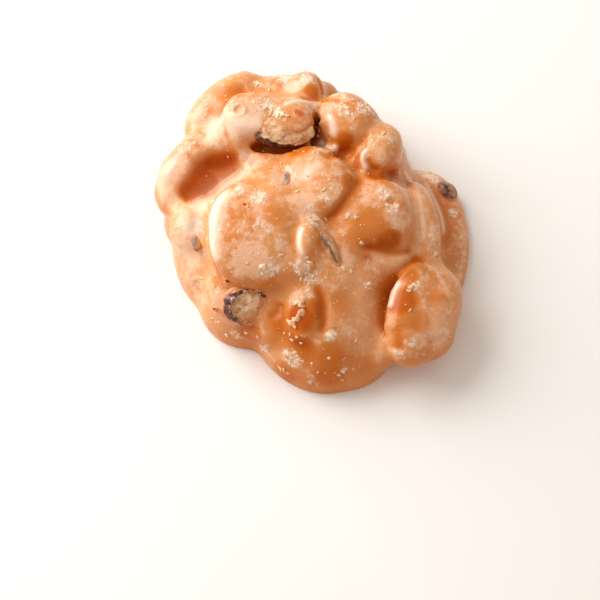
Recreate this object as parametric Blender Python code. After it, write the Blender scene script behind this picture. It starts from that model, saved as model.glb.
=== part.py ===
"""A peanut cluster: roasted peanuts and raisins bound in a thick, set, peanut-coloured coating.

It was spooned soft onto a flat sheet, so it rests on the smooth flat face that set there, with its
nuts heaped on top. x runs to the right, y away from the front and z up from the base, and the origin
is the middle of the base. The tables below are in millimetres and degrees.
"""
import math

import bmesh
import bpy
from mathutils import Matrix, Vector

MM = 0.001

# How the coating behaves, in millimetres
MELTED_RADIUS = 2.2        # it fills the creases between thickly covered nuts to at least this radius
CREASE_RADIUS = 0.7        # the same where a nut stands out of it
GRAIN = 0.5                # the finest step of its surface while it is worked out
SMOOTHING_STEPS = 6        # how far it levels itself before it sets
SET_FACES = 7600           # triangles left on the finished cluster
RAISIN_CLEARANCE = 0.3     # gap round a raisin in its seat

# How round each solid is
NUT_SIDES, NUT_RINGS = 24, 16
PUDDLE_SIDES, PUDDLE_RINGS = 48, 24
RAISIN_SIDES, RAISIN_RINGS = 14, 9
BLUNT_END = 2.4            # 2 is an egg's end, more is blunter
PUDDLE_UNDERSIDE = 0.25    # a puddle's depth below the base, which the base cut removes

# The nuts that the coating covers thickly, so that they run into each other.
# name: (middle), (length, width, height), turn, rise, roll, bend, taper, boxiness
MELTED_IN = {
    "crest_left": ((-16.0, 22.3, 12.0), (20.0, 10.0, 10.0), 47, 0, 0, 35, 0.0, 2.0),
    "top_left": ((-5.5, 25.0, 12.5), (11.0, 9.0, 8.5), 10, 0, 0, 0, 0.0, 2.0),
    "top_right": ((-0.5, 25.0, 13.0), (10.0, 7.5, 9.0), 95, 0, 0, 0, 0.0, 2.0),
    "ledge": ((-10.0, 17.8, 18.0), (13.5, 8.8, 7.0), -2, -4, 0, 0, -0.1, 2.8),
    "ledge_end": ((-4.0, 16.9, 19.0), (10.0, 7.5, 5.2), -8, 0, 0, 0, 0.1, 2.8),
    "ledge_bridge": ((-2.0, 20.0, 17.5), (10.0, 4.5, 4.5), -15, 0, 0, 0, 0.0, 2.0),
    "bean_left_end": ((-26.0, 6.0, 8.5), (9.0, 7.0, 9.0), 105, 0, 0, 0, 0.0, 2.0),
    "bean_left": ((-25.0, 9.5, 11.0), (10.0, 7.0, 9.0), 70, 0, 0, 0, 0.0, 2.0),
    "bean_middle": ((-21.0, 12.6, 13.2), (12.0, 7.5, 8.5), 35, 0, 0, 0, 0.0, 2.0),
    "bean_right": ((-15.8, 13.2, 14.3), (11.0, 7.0, 8.0), -18, 0, 0, 0, 0.0, 2.0),
    "bean_flank": ((-19.8, 9.4, 10.6), (18.0, 9.5, 8.6), 32, 0, 0, 0, 0.0, 2.0),
    "left_shelf": ((-19.5, 0.5, 9.4), (16.0, 12.0, 8.6), 50, 0, 0, 0, 0.0, 2.0),
    "under_ledge": ((-5.0, 8.4, 15.2), (15.0, 8.0, 5.2), -10, 0, 0, 0, 0.0, 2.0),
    "saddle": ((-5.5, 0.0, 15.0), (19.0, 19.0, 9.4), 20, 3, 0, 0, 0.0, 2.0),
    "left_big": ((-10.5, -5.5, 15.0), (21.0, 17.5, 10.4), 88, 9, 0, 0, 0.0, 3.2),
    "low_saddle": ((-3.5, -9.0, 14.5), (14.0, 12.0, 8.0), 0, 0, 0, 0, 0.0, 2.0),
    "right_big": ((11.0, -1.0, 14.0), (17.0, 16.0, 10.5), 12, -4, 0, 0, 0.0, 2.0),
    "right_slim": ((21.0, -0.8, 9.0), (18.0, 7.0, 9.4), 100, 6, 0, 8, 0.0, 2.4),
    "right_band": ((16.4, -8.5, 8.5), (12.0, 8.0, 7.0), 10, 0, 0, 0, 0.0, 2.0),
    "under_right_big": ((13.0, -8.4, 10.4), (14.0, 9.0, 7.6), -10, 0, 0, 0, 0.0, 2.0),
    "shoulder_foot": ((8.6, 10.2, 12.6), (11.0, 7.0, 6.4), -25, 0, 0, 0, 0.0, 2.0),
    "shoulder_sliver": ((16.0, 12.5, 8.5), (9.0, 5.0, 10.0), 80, 0, 0, 0, 0.0, 2.0),
    "lower_right_slope": ((22.0, -17.5, 7.0), (19.0, 12.0, 10.8), 72, 0, 0, 0, 0.0, 2.0),
    "lower_right_base": ((20.0, -21.5, 6.0), (14.5, 12.0, 9.0), 15, 0, 0, 0, 0.0, 2.0),
    "lower_foot": ((14.0, -23.5, 4.0), (10.0, 6.0, 7.0), 62, 0, 0, 0, 0.0, 2.0),
    "front_ridge": ((7.4, -19.0, 7.0), (26.0, 12.0, 9.4), 88, 27, 0, 0, 0.0, 2.0),
    "front_neck": ((2.0, -14.0, 10.5), (20.0, 17.0, 9.6), 85, 22, 0, 0, 0.0, 2.0),
    "front_fill": ((-5.5, -18.5, 6.8), (13.0, 12.0, 8.6), 60, 18, 0, 0, 0.0, 2.0),
    "front_left": ((-13.0, -14.5, 8.5), (14.0, 12.0, 8.0), -40, -14, 0, 0, 0.0, 2.0),
    "back_low_left": ((-14.0, 25.0, 4.5), (16.0, 9.0, 9.0), 15, 0, 0, 0, 0.1, 2.0),
    "back_low_middle": ((0.0, 26.0, 4.5), (14.0, 9.0, 9.0), -8, 0, 0, 0, 0.0, 2.0),
    "back_upright": ((-8.0, 26.0, 9.5), (12.0, 8.5, 8.0), 75, -20, 0, 0, 0.0, 2.0),
    "back_low_right": ((8.0, 22.5, 4.5), (15.0, 9.5, 9.0), -30, 0, 0, 20, 0.0, 2.0),
    "back_right": ((14.5, 14.0, 5.0), (15.0, 9.0, 10.0), -62, 0, 0, 0, 0.1, 2.0),
    "back_core": ((9.0, 13.0, 6.5), (16.0, 13.0, 13.0), -45, 0, 0, 0, 0.0, 2.0),
    "left_low_back": ((-19.0, 19.0, 5.0), (15.0, 9.0, 9.5), 52, 0, 0, 20, 0.0, 2.0),
    "left_low": ((-21.0, 9.0, 4.5), (13.0, 9.0, 9.0), 80, 0, 0, 0, 0.0, 2.0),
}

# The nuts that stand out of it, with a crease round each. The columns are the same.
STANDING_OUT = {
    "crest_tip": ((-12.6, 28.7, 12.5), (4.6, 3.2, 3.4), 80, 20, 0, 0, 0.0, 2.0),
    "top_behind": ((1.5, 25.5, 9.0), (10.0, 8.0, 8.0), 60, 0, 0, 0, 0.0, 2.0),
    "shoulder": ((7.0, 17.5, 15.5), (13.0, 11.0, 11.0), -42, -8, 0, 0, 0.05, 2.4),
    "shoulder_low": ((12.6, 12.0, 14.2), (12.0, 9.4, 10.8), 72, 0, 0, 0, 0.0, 2.8),
    "middle": ((2.0, 4.0, 16.0), (17.0, 13.0, 11.0), -55, 0, 0, 0, 0.0, 2.0),
    "small_middle": ((-0.8, -8.0, 16.5), (9.0, 5.0, 6.0), 85, 8, 0, 0, 0.0, 2.0),
    "lower_right": ((19.6, -19.0, 9.0), (21.0, 11.6, 7.6), 78, 8, 22, 0, 0.0, 2.8),
    "front_bump": ((-1.2, -18.8, 11.2), (14.0, 8.5, 5.6), 82, 18, -22, 0, 0.0, 2.0),
}

# Domes of coating that ran together under the nuts.
# name: (middle), (half width, half depth, height), turn, fullness of the side (less is steeper)
PUDDLES = {
    "core": ((-3.5, 2.0), (20.0, 19.5, 17.5), 0, 0.8),
    "core_front": ((-2.0, -5.5), (18.0, 15.0, 16.6), 0, 1.0),
    "core_right": ((11.5, -1.5), (12.0, 14.0, 14.0), 0, 0.8),
    "front_slope": ((2.0, -14.5), (14.0, 17.0, 14.0), 12, 1.0),
    "front_foot": ((6.5, -21.5), (9.4, 9.4, 5.0), 0, 0.8),
    "right_flange": ((20.5, -2.2), (10.0, 17.8, 4.2), -6, 0.6),
    "right_front": ((20.0, -15.5), (7.5, 8.5, 6.5), 0, 0.8),
    "left_slope": ((-18.0, 0.5), (8.4, 15.0, 12.5), 0, 0.9),
    "left_bulge": ((-21.5, 4.0), (6.6, 6.0, 9.0), 0, 0.9),
    "left_front": ((-11.5, -12.0), (9.8, 10.2, 11.0), 0, 0.9),
    "back_foot": ((-3.0, 17.5), (20.5, 12.5, 4.0), 0, 0.6),
}

# Places where the coating stayed back from a gap.
# name: (middle), (length, width, height), turn
HOLLOWS = {
    "gap_beside_shoulder": ((1.0, 17.0, 16.2), (2.6, 3.2, 8.0), 0),
    "gap_under_ledge": ((-5.5, 12.4, 16.6), (12.5, 4.4, 4.6), 0),
}

# The raisins, each sunk in a seat in the coating.
# name: (middle), (length, width, height), turn, rise, roll
RAISINS = {
    "raisin_torn": ((-11.8, -17.6, 10.8), (8.8, 8.0, 4.0), 20, -6, 33),
    "raisin_under_ledge": ((-5.2, 14.2, 18.9), (12.0, 6.0, 3.6), -3, 0, 36),
    "raisin_wedge": ((3.6, -9.0, 15.7), (8.6, 3.2, 4.0), -62, -12, 0),
    "raisin_left": ((-21.2, -4.3, 11.7), (6.0, 2.8, 3.0), 95, 0, -30),
    "raisin_saddle": ((-4.5, 3.5, 18.7), (5.0, 3.2, 2.6), 60, 0, 0),
    "raisin_flange": ((26.4, 9.8, 2.6), (4.8, 3.4, 3.2), -55, 0, 0),
    "raisin_back": ((3.0, 28.8, 6.2), (7.5, 5.0, 3.6), -10, 0, -80),
    "raisin_back_left": ((-20.7, 22.8, 6.6), (6.5, 4.5, 3.4), 53, 0, -70),
}


# ---- shapes ---------------------------------------------------------------------------------

def ball(name, sides, rings):
    """A new object holding a ball of radius 1."""
    mesh = bpy.data.meshes.new(name)
    bm = bmesh.new()
    bmesh.ops.create_uvsphere(bm, u_segments=sides, v_segments=rings, radius=1.0)
    bm.to_mesh(mesh)
    bm.free()
    obj = bpy.data.objects.new(name, mesh)
    bpy.context.scene.collection.objects.link(obj)
    return obj


def turned(middle, turn, rise=0.0, roll=0.0):
    """The place of a lump: its middle, its heading in plan, how far its +x end rises, and its roll."""
    return (
        Matrix.Translation(Vector(middle) * MM)
        @ Matrix.Rotation(math.radians(turn), 4, "Z")
        @ Matrix.Rotation(math.radians(-rise), 4, "Y")
        @ Matrix.Rotation(math.radians(roll), 4, "X")
    )


def nut(name, middle, size, turn, rise, roll, bend, taper, boxiness):
    """A peanut under its coating: a long lump along x with blunt ends, tapered and bent like a bean."""
    obj = ball(name, NUT_SIDES, NUT_RINGS)
    length, width, height = size
    for vertex in obj.data.vertices:
        x, y, z = vertex.co
        around = math.hypot(y, z)
        if around > 1e-6:
            blunt = math.sqrt(max(0.0, 1.0 - abs(x) ** BLUNT_END)) / around
            corner = (abs(y / around) ** boxiness + abs(z / around) ** boxiness) ** (-1.0 / boxiness)
            y *= blunt * corner
            z *= blunt * corner
        along = x * length / 2
        across = y * (1 + taper * x) * width / 2
        up = z * (1 + taper * x) * height / 2
        if bend:
            radius = length / math.radians(bend)
            angle = along / radius
            sag = 0.45 * radius * (1 - math.cos(math.radians(bend) / 2))
            along = (radius + across) * math.sin(angle)
            across = (radius + across) * math.cos(angle) - radius + sag
        vertex.co = Vector((along, across, up)) * MM
    obj.data.transform(turned(middle, turn, rise, roll))
    return obj


def puddle(name, middle, size, turn, fullness):
    """A dome of coating standing on the base, reaching a little below it."""
    obj = ball(name, PUDDLE_SIDES, PUDDLE_RINGS)
    for vertex in obj.data.vertices:
        height = abs(vertex.co.z) ** fullness
        vertex.co.z = height if vertex.co.z > 0 else -PUDDLE_UNDERSIDE * height
    obj.data.transform(Matrix.Diagonal((*(Vector(size) * MM), 1.0)))
    obj.data.transform(turned((*middle, 0.0), turn))
    return obj


def raisin(name, middle, size, turn, rise, roll, grow=0.0):
    """A raisin as a plain oval lump, or its seat when it is grown all round."""
    obj = ball(name, RAISIN_SIDES, RAISIN_RINGS)
    half = [(side / 2 + grow) * MM for side in size]
    obj.data.transform(Matrix.Diagonal((*half, 1.0)))
    obj.data.transform(turned(middle, turn, rise, roll))
    return obj


# ---- working the coating --------------------------------------------------------------------

def add_modifier(obj, kind, **settings):
    modifier = obj.modifiers.new(kind.title(), kind)
    for name, value in settings.items():
        setattr(modifier, name, value)


def apply_modifiers(obj):
    evaluated = obj.evaluated_get(bpy.context.evaluated_depsgraph_get())
    mesh = bpy.data.meshes.new_from_object(evaluated)
    obj.modifiers.clear()
    obj.data = mesh


def boolean_with_all(obj, others, operation):
    """One Boolean with a collection of objects, applied, with the collection's objects then removed."""
    collection = bpy.data.collections.new(operation.title())
    bpy.context.scene.collection.children.link(collection)
    for other in others:
        bpy.context.scene.collection.objects.unlink(other)
        collection.objects.link(other)
    add_modifier(obj, "BOOLEAN", operation=operation, operand_type="COLLECTION",
                 collection=collection, solver="EXACT")
    apply_modifiers(obj)
    for other in others:
        bpy.data.objects.remove(other)
    bpy.data.collections.remove(collection)


def fill_creases(obj, radius):
    """Swells the surface and draws it back, which leaves a fillet in every crease."""
    grain = dict(mode="VOXEL", voxel_size=GRAIN * MM)
    add_modifier(obj, "REMESH", **grain)
    add_modifier(obj, "DISPLACE", strength=radius * MM, mid_level=0.0)
    add_modifier(obj, "REMESH", **grain)
    add_modifier(obj, "DISPLACE", strength=-radius * MM, mid_level=0.0)
    add_modifier(obj, "REMESH", **grain)
    apply_modifiers(obj)


def press_hollow(obj, middle, size, turn):
    """Pushes what lies inside an oval down to its underside."""
    place = turned(middle, turn) @ Matrix.Diagonal((*(Vector(size) * MM / 2), 1.0))
    into_oval = place.inverted()
    for vertex in obj.data.vertices:
        local = into_oval @ vertex.co
        if local.length < 1.0:
            local.z = -math.sqrt(max(0.0, 1.0 - local.x ** 2 - local.y ** 2))
            vertex.co = place @ local


def level_and_thin(obj):
    """Levels the surface as it sets, then keeps only the triangles that its shape needs."""
    add_modifier(obj, "REMESH", mode="VOXEL", voxel_size=GRAIN * MM)
    add_modifier(obj, "SMOOTH", factor=0.5, iterations=SMOOTHING_STEPS)
    add_modifier(obj, "TRIANGULATE")
    apply_modifiers(obj)
    add_modifier(obj, "DECIMATE", ratio=SET_FACES / len(obj.data.polygons))
    apply_modifiers(obj)


def cut_flat_base(obj):
    """Cuts off what hangs below z = 0 and closes the cut with one flat face, in triangles."""
    bm = bmesh.new()
    bm.from_mesh(obj.data)
    cut = bmesh.ops.bisect_plane(
        bm, geom=bm.verts[:] + bm.edges[:] + bm.faces[:],
        plane_co=(0, 0, 0), plane_no=(0, 0, -1), clear_outer=True)
    rim = [part for part in cut["geom_cut"] if isinstance(part, bmesh.types.BMEdge)]
    for edge in rim:
        for vertex in edge.verts:
            vertex.co.z = 0.0
    bmesh.ops.triangle_fill(bm, edges=rim, use_beauty=True)
    bmesh.ops.triangulate(bm, faces=bm.faces[:])
    bmesh.ops.recalc_face_normals(bm, faces=bm.faces[:])
    bm.to_mesh(obj.data)
    bm.free()


def centre_on_base(objects, body):
    """Moves everything so that the body's outline in plan is centred on the origin."""
    for axis in (0, 1):
        reach = [vertex.co[axis] for vertex in body.data.vertices]
        shift = Vector((0.0, 0.0, 0.0))
        shift[axis] = -(min(reach) + max(reach)) / 2
        for obj in objects:
            obj.data.transform(Matrix.Translation(shift))


# ---- finishes -------------------------------------------------------------------------------

def linear(red, green, blue):
    """A colour read as 0 to 255 by eye, as the shader wants it."""
    def channel(value):
        value /= 255
        return value / 12.92 if value <= 0.04045 else ((value + 0.055) / 1.055) ** 2.4
    return (channel(red), channel(green), channel(blue), 1.0)


def finish(name, colour, roughness):
    material = bpy.data.materials.new(name)
    material.use_nodes = True
    shader = material.node_tree.nodes["Principled BSDF"]
    shader.inputs["Base Color"].default_value = linear(*colour)
    shader.inputs["Roughness"].default_value = roughness
    shader.inputs["Metallic"].default_value = 0.0
    return material


def wear(obj, material):
    obj.data.materials.clear()
    obj.data.materials.append(material)
    obj.data.shade_smooth()


# ---- the cluster ----------------------------------------------------------------------------

for leftover in list(bpy.data.objects):
    bpy.data.objects.remove(leftover)

coating_finish = finish("peanut coating", (203, 132, 82), 0.45)
raisin_finish = finish("raisin skin", (84, 56, 46), 0.55)

domes = [puddle(name, *shape) for name, shape in PUDDLES.items()]
melted_nuts = [nut(name, *shape) for name, shape in MELTED_IN.items()]
standing_nuts = [nut(name, *shape) for name, shape in STANDING_OUT.items()]
cluster, *heap = domes + melted_nuts
cluster.name = "peanut_cluster"
boolean_with_all(cluster, heap, "UNION")
fill_creases(cluster, MELTED_RADIUS)
boolean_with_all(cluster, standing_nuts, "UNION")
fill_creases(cluster, CREASE_RADIUS)
for middle, size, turn in HOLLOWS.values():
    press_hollow(cluster, middle, size, turn)
level_and_thin(cluster)
cut_flat_base(cluster)
seats = [raisin(f"seat_{name}", *shape, grow=RAISIN_CLEARANCE) for name, shape in RAISINS.items()]
boolean_with_all(cluster, seats, "DIFFERENCE")
wear(cluster, coating_finish)

raisins = [raisin(name, *shape) for name, shape in RAISINS.items()]
for piece in raisins:
    wear(piece, raisin_finish)
centre_on_base([cluster, *raisins], cluster)
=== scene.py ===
"""The looks of a peanut cluster: roasted peanuts and raisins set in a thick peanut-coloured coating."""
import math

import bmesh
import bpy
import numpy as np
from mathutils import Matrix, Vector, noise
from mathutils.bvhtree import BVHTree


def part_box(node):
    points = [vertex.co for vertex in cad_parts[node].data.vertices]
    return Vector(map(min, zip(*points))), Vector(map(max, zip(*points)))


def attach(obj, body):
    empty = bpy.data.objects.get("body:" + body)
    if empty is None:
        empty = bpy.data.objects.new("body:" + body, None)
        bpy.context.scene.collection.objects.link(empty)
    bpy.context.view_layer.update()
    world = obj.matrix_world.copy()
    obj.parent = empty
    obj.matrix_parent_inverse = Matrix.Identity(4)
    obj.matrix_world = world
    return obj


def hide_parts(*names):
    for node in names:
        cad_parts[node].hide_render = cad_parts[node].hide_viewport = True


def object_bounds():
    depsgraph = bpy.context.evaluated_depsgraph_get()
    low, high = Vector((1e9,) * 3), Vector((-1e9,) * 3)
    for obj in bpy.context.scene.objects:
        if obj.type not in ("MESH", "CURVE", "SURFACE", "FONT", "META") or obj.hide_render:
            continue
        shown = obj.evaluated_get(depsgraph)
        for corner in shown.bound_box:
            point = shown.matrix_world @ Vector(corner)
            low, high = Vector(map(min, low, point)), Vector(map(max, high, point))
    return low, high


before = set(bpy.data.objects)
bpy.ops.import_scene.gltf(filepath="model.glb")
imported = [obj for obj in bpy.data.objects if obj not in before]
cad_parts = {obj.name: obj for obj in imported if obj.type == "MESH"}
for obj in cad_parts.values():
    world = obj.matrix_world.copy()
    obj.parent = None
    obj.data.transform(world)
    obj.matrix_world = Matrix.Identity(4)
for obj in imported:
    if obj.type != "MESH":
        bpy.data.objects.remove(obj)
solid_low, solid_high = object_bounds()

MM = 0.001

# ---- Camera ---------------------------------------------------------------------------------
# The cluster is seen from above its front, as it leans towards the eye in the photograph.
# The frame is as wide as 112 mm on the cluster.
EYE = Vector((-2.34, -204.55, 412.77)) * MM
LOOKED_AT = Vector((-2.34, -14.38, 4.93)) * MM
LENS, SENSOR = 144, 36
PHOTO_SIDE = 600

bpy.ops.object.camera_add(location=EYE, rotation=(LOOKED_AT - EYE).to_track_quat("-Z", "Y").to_euler())
camera = bpy.context.object
camera.name = "camera"
camera.data.lens = LENS
camera.data.sensor_width = SENSOR
camera.data.clip_start = 0.01
bpy.context.scene.camera = camera

# ---- Coated nuts ----------------------------------------------------------------------------
# Some three dozen roasted peanuts, stirred into warm coating and dropped by the spoonful onto a flat
# sheet. The coating runs together under the nuts, levels itself, fills their creases and sets.
MELTED_RADIUS = 2.2
CREASE_RADIUS = 0.7
FINE_GRAIN = 0.38
GRAIN = FINE_GRAIN
SMOOTHING_STEPS = 7
BLUNT_END = 2.4

# The nuts that sank in, so that coating fills the creases between them.
# name: (middle), (length, width, height), turn, rise, roll, bend, taper, boxiness; in mm and degrees
MELTED_IN = {
    "crest_left": ((-16.0, 22.3, 12.0), (20.0, 10.0, 10.0), 47, 0, 0, 35, 0.0, 2.0),
    "top_left": ((-5.5, 25.0, 12.5), (11.0, 9.0, 8.5), 10, 0, 0, 0, 0.0, 2.0),
    "top_right": ((-0.5, 25.0, 13.0), (10.0, 7.5, 9.0), 95, 0, 0, 0, 0.0, 2.0),
    "ledge": ((-10.0, 17.8, 18.0), (13.5, 8.8, 7.0), -2, -4, 0, 0, -0.1, 2.8),
    "ledge_end": ((-4.0, 16.9, 19.0), (10.0, 7.5, 5.2), -8, 0, 0, 0, 0.1, 2.8),
    "ledge_bridge": ((-2.0, 20.0, 17.5), (10.0, 4.5, 4.5), -15, 0, 0, 0, 0.0, 2.0),
    "bean_left_end": ((-26.0, 6.0, 8.5), (9.0, 7.0, 9.0), 105, 0, 0, 0, 0.0, 2.0),
    "bean_left": ((-25.0, 9.5, 11.0), (10.0, 7.0, 9.0), 70, 0, 0, 0, 0.0, 2.0),
    "bean_middle": ((-21.0, 12.6, 13.2), (12.0, 7.5, 8.5), 35, 0, 0, 0, 0.0, 2.0),
    "bean_right": ((-15.8, 13.2, 14.3), (11.0, 7.0, 8.0), -18, 0, 0, 0, 0.0, 2.0),
    "bean_flank": ((-19.8, 9.4, 10.6), (18.0, 9.5, 8.6), 32, 0, 0, 0, 0.0, 2.0),
    "left_shelf": ((-19.5, 0.5, 9.4), (16.0, 12.0, 8.6), 50, 0, 0, 0, 0.0, 2.0),
    "under_ledge": ((-5.0, 8.4, 15.2), (15.0, 8.0, 5.2), -10, 0, 0, 0, 0.0, 2.0),
    "saddle": ((-5.5, 0.0, 15.0), (19.0, 19.0, 9.4), 20, 3, 0, 0, 0.0, 2.0),
    "left_big": ((-10.5, -5.5, 15.0), (21.0, 17.5, 10.4), 88, 9, 0, 0, 0.0, 3.2),
    "low_saddle": ((-3.5, -9.0, 14.5), (14.0, 12.0, 8.0), 0, 0, 0, 0, 0.0, 2.0),
    "right_big": ((11.0, -1.0, 14.0), (17.0, 16.0, 10.5), 12, -4, 0, 0, 0.0, 2.0),
    "right_slim": ((21.0, -0.8, 9.0), (18.0, 7.0, 9.4), 100, 6, 0, 8, 0.0, 2.4),
    "right_band": ((16.4, -8.5, 8.5), (12.0, 8.0, 7.0), 10, 0, 0, 0, 0.0, 2.0),
    "under_right_big": ((13.0, -8.4, 10.4), (14.0, 9.0, 7.6), -10, 0, 0, 0, 0.0, 2.0),
    "shoulder_foot": ((8.6, 10.2, 12.6), (11.0, 7.0, 6.4), -25, 0, 0, 0, 0.0, 2.0),
    "shoulder_sliver": ((16.0, 12.5, 8.5), (9.0, 5.0, 10.0), 80, 0, 0, 0, 0.0, 2.0),
    "lower_right_slope": ((22.0, -17.5, 7.0), (19.0, 12.0, 10.8), 72, 0, 0, 0, 0.0, 2.0),
    "lower_right_base": ((20.0, -21.5, 6.0), (14.5, 12.0, 9.0), 15, 0, 0, 0, 0.0, 2.0),
    "lower_foot": ((14.0, -23.5, 4.0), (10.0, 6.0, 7.0), 62, 0, 0, 0, 0.0, 2.0),
    "front_ridge": ((7.4, -19.0, 7.0), (26.0, 12.0, 9.4), 88, 27, 0, 0, 0.0, 2.0),
    "front_neck": ((2.0, -14.0, 10.5), (20.0, 17.0, 9.6), 85, 22, 0, 0, 0.0, 2.0),
    "front_fill": ((-5.5, -18.5, 6.8), (13.0, 12.0, 8.6), 60, 18, 0, 0, 0.0, 2.0),
    "front_left": ((-13.0, -14.5, 8.5), (14.0, 12.0, 8.0), -40, -14, 0, 0, 0.0, 2.0),
    "back_low_left": ((-14.0, 25.0, 4.5), (16.0, 9.0, 9.0), 15, 0, 0, 0, 0.1, 2.0),
    "back_low_middle": ((0.0, 26.0, 4.5), (14.0, 9.0, 9.0), -8, 0, 0, 0, 0.0, 2.0),
    "back_upright": ((-8.0, 26.0, 9.5), (12.0, 8.5, 8.0), 75, -20, 0, 0, 0.0, 2.0),
    "back_low_right": ((8.0, 22.5, 4.5), (15.0, 9.5, 9.0), -30, 0, 0, 20, 0.0, 2.0),
    "back_right": ((14.5, 14.0, 5.0), (15.0, 9.0, 10.0), -62, 0, 0, 0, 0.1, 2.0),
    "back_core": ((9.0, 13.0, 6.5), (16.0, 13.0, 13.0), -45, 0, 0, 0, 0.0, 2.0),
    "left_low_back": ((-19.0, 19.0, 5.0), (15.0, 9.0, 9.5), 52, 0, 0, 20, 0.0, 2.0),
    "left_low": ((-21.0, 9.0, 4.5), (13.0, 9.0, 9.0), 80, 0, 0, 0, 0.0, 2.0),
}
# The nuts that lie on top, each still in a sharp crease of its own.
STANDING_OUT = {
    "crest_tip": ((-12.6, 28.7, 12.5), (4.6, 3.2, 3.4), 80, 20, 0, 0, 0.0, 2.0),
    "top_behind": ((1.5, 25.5, 9.0), (10.0, 8.0, 8.0), 60, 0, 0, 0, 0.0, 2.0),
    "shoulder": ((7.0, 17.5, 15.5), (13.0, 11.0, 11.0), -42, -8, 0, 0, 0.05, 2.4),
    "shoulder_low": ((12.6, 12.0, 14.2), (12.0, 9.4, 10.8), 72, 0, 0, 0, 0.0, 2.8),
    "middle": ((2.0, 4.0, 16.0), (17.0, 13.0, 11.0), -55, 0, 0, 0, 0.0, 2.0),
    "small_middle": ((-0.8, -8.0, 16.5), (9.0, 5.0, 6.0), 85, 8, 0, 0, 0.0, 2.0),
    "lower_right": ((19.6, -19.0, 9.0), (21.0, 11.6, 7.6), 78, 8, 22, 0, 0.0, 2.8),
    "front_bump": ((-1.2, -18.8, 11.2), (14.0, 8.5, 5.6), 82, 18, -22, 0, 0.0, 2.0),
}
# The coating that ran together under the nuts.
# name: (middle), (half width, half depth, height), turn, fullness of the side
PUDDLES = {
    "core": ((-3.5, 2.0), (20.0, 19.5, 17.5), 0, 0.8),
    "core_front": ((-2.0, -5.5), (18.0, 15.0, 16.6), 0, 1.0),
    "core_right": ((11.5, -1.5), (12.0, 14.0, 14.0), 0, 0.8),
    "front_slope": ((2.0, -14.5), (14.0, 17.0, 14.0), 12, 1.0),
    "front_foot": ((6.5, -21.5), (9.4, 9.4, 5.0), 0, 0.8),
    "right_flange": ((20.5, -2.2), (10.0, 17.8, 4.2), -6, 0.6),
    "right_front": ((20.0, -15.5), (7.5, 8.5, 6.5), 0, 0.8),
    "left_slope": ((-18.0, 0.5), (8.4, 15.0, 12.5), 0, 0.9),
    "left_bulge": ((-21.5, 4.0), (6.6, 6.0, 9.0), 0, 0.9),
    "left_front": ((-11.5, -12.0), (9.8, 10.2, 11.0), 0, 0.9),
    "back_foot": ((-3.0, 17.5), (20.5, 12.5, 4.0), 0, 0.6),
}
# The gaps that the coating never filled.
# name: (middle), (length, width, height), turn
HOLLOWS = {
    "gap_beside_shoulder": ((1.0, 17.0, 16.2), (2.6, 3.2, 8.0), 0),
    "gap_under_ledge": ((-5.5, 12.4, 16.6), (12.5, 4.4, 4.6), 0),
}


def turned(middle, turn, rise=0.0, roll=0.0):
    """The place of a lump: its middle, its heading in plan, how far its far end rises, and its roll."""
    return (
        Matrix.Translation(Vector(middle) * MM)
        @ Matrix.Rotation(math.radians(turn), 4, "Z")
        @ Matrix.Rotation(math.radians(-rise), 4, "Y")
        @ Matrix.Rotation(math.radians(roll), 4, "X")
    )


def dough_ball(name, sides, rings):
    """A ball of radius 1, added as by hand and ready to be shaped."""
    bpy.ops.object.select_all(action="DESELECT")
    bpy.ops.mesh.primitive_uv_sphere_add(segments=sides, ring_count=rings, radius=1.0)
    ball = bpy.context.object
    ball.name = name
    return ball


def coated_nut(name, middle, size, turn, rise, roll, bend, taper, boxiness):
    """A peanut under its coating: a long lump with blunt ends, tapered and bent like a bean."""
    lump = dough_ball(name, 24, 16)
    length, width, height = size
    for vertex in lump.data.vertices:
        x, y, z = vertex.co
        around = math.hypot(y, z)
        if around > 1e-6:
            blunt = math.sqrt(max(0.0, 1.0 - abs(x) ** BLUNT_END)) / around
            corner = (abs(y / around) ** boxiness + abs(z / around) ** boxiness) ** (-1.0 / boxiness)
            y *= blunt * corner
            z *= blunt * corner
        along = x * length / 2
        across = y * (1 + taper * x) * width / 2
        up = z * (1 + taper * x) * height / 2
        if bend:
            radius = length / math.radians(bend)
            angle = along / radius
            sag = 0.45 * radius * (1 - math.cos(math.radians(bend) / 2))
            along = (radius + across) * math.sin(angle)
            across = (radius + across) * math.cos(angle) - radius + sag
        vertex.co = Vector((along, across, up)) * MM
    lump.data.transform(turned(middle, turn, rise, roll))
    return lump


def puddle(name, middle, size, turn, fullness):
    """A dome of coating on the base, reaching a little below it."""
    dome = dough_ball(name, 48, 24)
    for vertex in dome.data.vertices:
        height = abs(vertex.co.z) ** fullness
        vertex.co.z = height if vertex.co.z > 0 else -0.25 * height
    dome.data.transform(Matrix.Diagonal((*(Vector(size) * MM), 1.0)))
    dome.data.transform(turned((*middle, 0.0), turn))
    return dome


def set_modifier(piece, kind, **settings):
    """Adds a modifier and applies it."""
    modifier = piece.modifiers.new(kind.title(), kind)
    for name, value in settings.items():
        setattr(modifier, name, value)
    bpy.context.view_layer.objects.active = piece
    bpy.ops.object.modifier_apply(modifier=modifier.name)


def press_hollow(piece, middle, size, turn):
    """Pushes what lies inside an oval down to its underside."""
    place = turned(middle, turn) @ Matrix.Diagonal((*(Vector(size) * MM / 2), 1.0))
    into_oval = place.inverted()
    for vertex in piece.data.vertices:
        local = into_oval @ vertex.co
        if local.length < 1.0:
            local.z = -math.sqrt(max(0.0, 1.0 - local.x ** 2 - local.y ** 2))
            vertex.co = place @ local


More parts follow.
